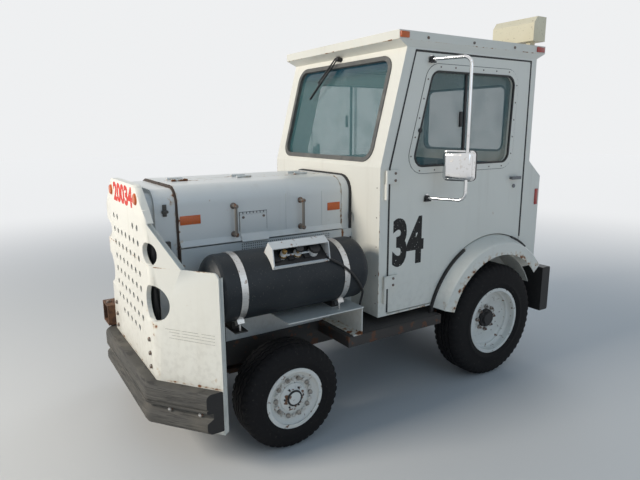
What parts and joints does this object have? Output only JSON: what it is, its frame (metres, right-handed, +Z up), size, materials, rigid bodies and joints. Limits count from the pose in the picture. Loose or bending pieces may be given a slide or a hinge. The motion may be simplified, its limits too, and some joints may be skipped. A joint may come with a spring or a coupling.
{
  "type": "airport baggage tug with cab",
  "caption": "Compact industrial tow tractor with a closed cab, perforated engine covers, folded steel nose plate, rubber bumper, side gas tank and rear tow hitch.",
  "frame": {"origin": "on the ground under the middle of the vehicle's length and width", "axes": "-Y forwards, +X to the vehicle's left, +Z up"},
  "size_m": [1.7054, 2.942, 2.362],
  "materials": {
    "white_paint": "worn off-white enamel with rust at the edges",
    "wheel_paint": "white wheel enamel",
    "tank_paint": "satin charcoal paint",
    "chassis_steel": "dark worn paint with rust",
    "rusty_steel": "rusted steel",
    "engine_iron": "oily cast iron",
    "bare_metal": "galvanised",
    "mirror_chrome": "polished",
    "window_glass": "clear with a faint green tint",
    "gasket_rubber": "weathered rubber",
    "bumper_rubber": "scuffed grey-black rubber",
    "tyre_rubber": "worn tyre rubber",
    "dark_plastic": "matt black",
    "lamp_plastic": "aged cream plastic",
    "seat_vinyl": "black vinyl"
  },
  "bodies": {
    "chassis": {"frame": "chassis_steel", "nose_plate": "white_paint", "front_bumper": "bumper_rubber", "tow_tube": "rusty_steel", "radiator_cowl": "white_paint", "radiator": "dark_plastic", "hood_frame": "white_paint", "engine_block": "engine_iron", "cab_shell": "white_paint", "cab_roof": "white_paint", "cab_glass": "window_glass", "window_gaskets": "gasket_rubber", "wiper": "bare_metal", "dashboard": "dark_plastic", "seat_frame": "chassis_steel", "seat_cushions": "seat_vinyl", "fender_flares": "white_paint", "gas_tank": "tank_paint", "tank_straps": "bare_metal", "valve_box": "bare_metal", "tank_shelf": "white_paint", "rear_bumper": "bumper_rubber", "rear_hitch": "chassis_steel", "front_axle": "chassis_steel", "rear_axle": "chassis_steel", "roof_lamp": "lamp_plastic"},
    "cover_left": {"cover_left": "white_paint"},
    "cover_right": {"cover_right": "white_paint"},
    "door_left": {"door_left": "white_paint", "door_glass_left": "window_glass", "mirror_left": "mirror_chrome"},
    "door_right": {"door_right": "white_paint", "door_glass_right": "window_glass", "mirror_right": "mirror_chrome"},
    "steering_wheel": {"steering_wheel": "dark_plastic"},
    "knuckle_left": {"knuckle_left": "chassis_steel"},
    "knuckle_right": {"knuckle_right": "chassis_steel"},
    "tie_rod": {"tie_rod": "chassis_steel"},
    "front_wheel_left": {"front_rim_left": "wheel_paint", "front_tyre_left": "tyre_rubber"},
    "front_wheel_right": {"front_rim_right": "wheel_paint", "front_tyre_right": "tyre_rubber"},
    "rear_wheel_left": {"rear_rim_left": "wheel_paint", "rear_tyre_left": "tyre_rubber"},
    "rear_wheel_right": {"rear_rim_right": "wheel_paint", "rear_tyre_right": "tyre_rubber"}
  },
  "joints": [
    {"name": "door_left_hinge", "type": "hinge", "parent": "chassis", "child": "door_left", "pos_m": [0.615, -0.115, 1.1], "axis": [0, 0, -1], "range_deg": [0, 80]},
    {"name": "door_right_hinge", "type": "hinge", "parent": "chassis", "child": "door_right", "pos_m": [-0.615, -0.115, 1.1], "axis": [0, 0, 1], "range_deg": [0, 80]},
    {"name": "cover_left_hinge", "type": "hinge", "parent": "chassis", "child": "cover_left", "pos_m": [0.0435, -0.72, 1.397], "axis": [0, -1, 0], "range_deg": [0, 70]},
    {"name": "cover_right_hinge", "type": "hinge", "parent": "chassis", "child": "cover_right", "pos_m": [-0.0435, -0.72, 1.397], "axis": [0, 1, 0], "range_deg": [0, 70]},
    {"name": "steering", "type": "hinge", "parent": "chassis", "child": "steering_wheel", "pos_m": [0.29, 0.267, 1.33], "axis": [0, 0.5736, 0.8192], "range_deg": [-540, 540]},
    {"name": "kingpin_left", "type": "hinge", "parent": "chassis", "child": "knuckle_left", "pos_m": [0.455, -0.769, 0.285], "axis": [0, 0, 1], "range_deg": [-30, 30]},
    {"name": "kingpin_right", "type": "hinge", "parent": "chassis", "child": "knuckle_right", "pos_m": [-0.455, -0.769, 0.285], "axis": [0, 0, 1], "range_deg": [-30, 30]},
    {"name": "tie_rod_pivot", "type": "hinge", "parent": "knuckle_left", "child": "tie_rod", "pos_m": [0.455, -0.624, 0.207], "axis": [0, 0, 1], "range_deg": [-30, 30]},
    {"name": "front_axle_left_spin", "type": "hinge", "parent": "knuckle_left", "child": "front_wheel_left", "pos_m": [0.592, -0.769, 0.285], "axis": [1, 0, 0], "continuous": true},
    {"name": "front_axle_right_spin", "type": "hinge", "parent": "knuckle_right", "child": "front_wheel_right", "pos_m": [-0.592, -0.769, 0.285], "axis": [1, 0, 0], "continuous": true},
    {"name": "rear_axle_left_spin", "type": "hinge", "parent": "chassis", "child": "rear_wheel_left", "pos_m": [0.57, 0.806, 0.386], "axis": [1, 0, 0], "continuous": true},
    {"name": "rear_axle_right_spin", "type": "hinge", "parent": "chassis", "child": "rear_wheel_right", "pos_m": [-0.57, 0.806, 0.386], "axis": [1, 0, 0], "continuous": true}
  ],
  "couplings": [
    {"joint": "kingpin_right", "follows": "kingpin_left", "ratio": 1},
    {"joint": "tie_rod_pivot", "follows": "kingpin_left", "ratio": -1},
    {"joint": "steering", "follows": "kingpin_left", "ratio": 18}
  ]
}
